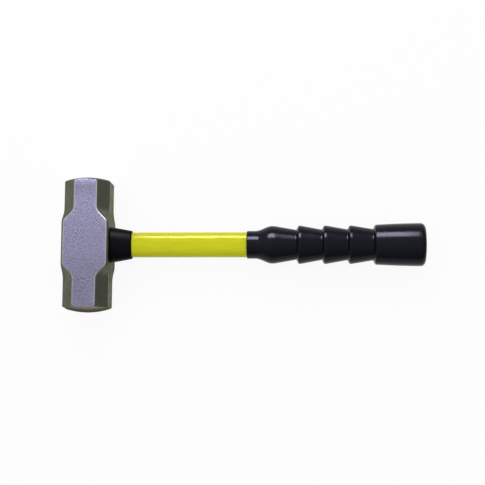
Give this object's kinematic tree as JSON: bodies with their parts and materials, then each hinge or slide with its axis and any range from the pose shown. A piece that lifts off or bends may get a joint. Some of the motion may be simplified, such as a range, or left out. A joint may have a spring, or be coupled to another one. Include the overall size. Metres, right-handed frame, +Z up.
{
  "type": "sledgehammer",
  "caption": "Short-handled double-face sledgehammer: chamfered square steel head bonded to an oval fibreglass rod, with a black collar and a stepped rubber grip with a flared butt.",
  "frame": {"origin": "centre of the lower cheek of the head, on which the hammer lies", "axes": "+X along the handle from the head to the butt, +Y along the head between the striking faces, +Z up, out of the upper cheek"},
  "size_m": [0.3573, 0.1342, 0.0457],
  "materials": {
    "ground_steel": "ground cheeks, duller forged chamfers",
    "cast_bond": "cast epoxy",
    "yellow_fibreglass": "satin resin over glass fibre",
    "black_moulding": "satin",
    "black_rubber": "glossy moulded rubber"
  },
  "bodies": {
    "root": {"sledge_head": "ground_steel", "eye_epoxy": "cast_bond", "handle_core": "yellow_fibreglass", "head_collar": "black_moulding", "grip_sleeve": "black_rubber"}
  },
  "joints": []
}
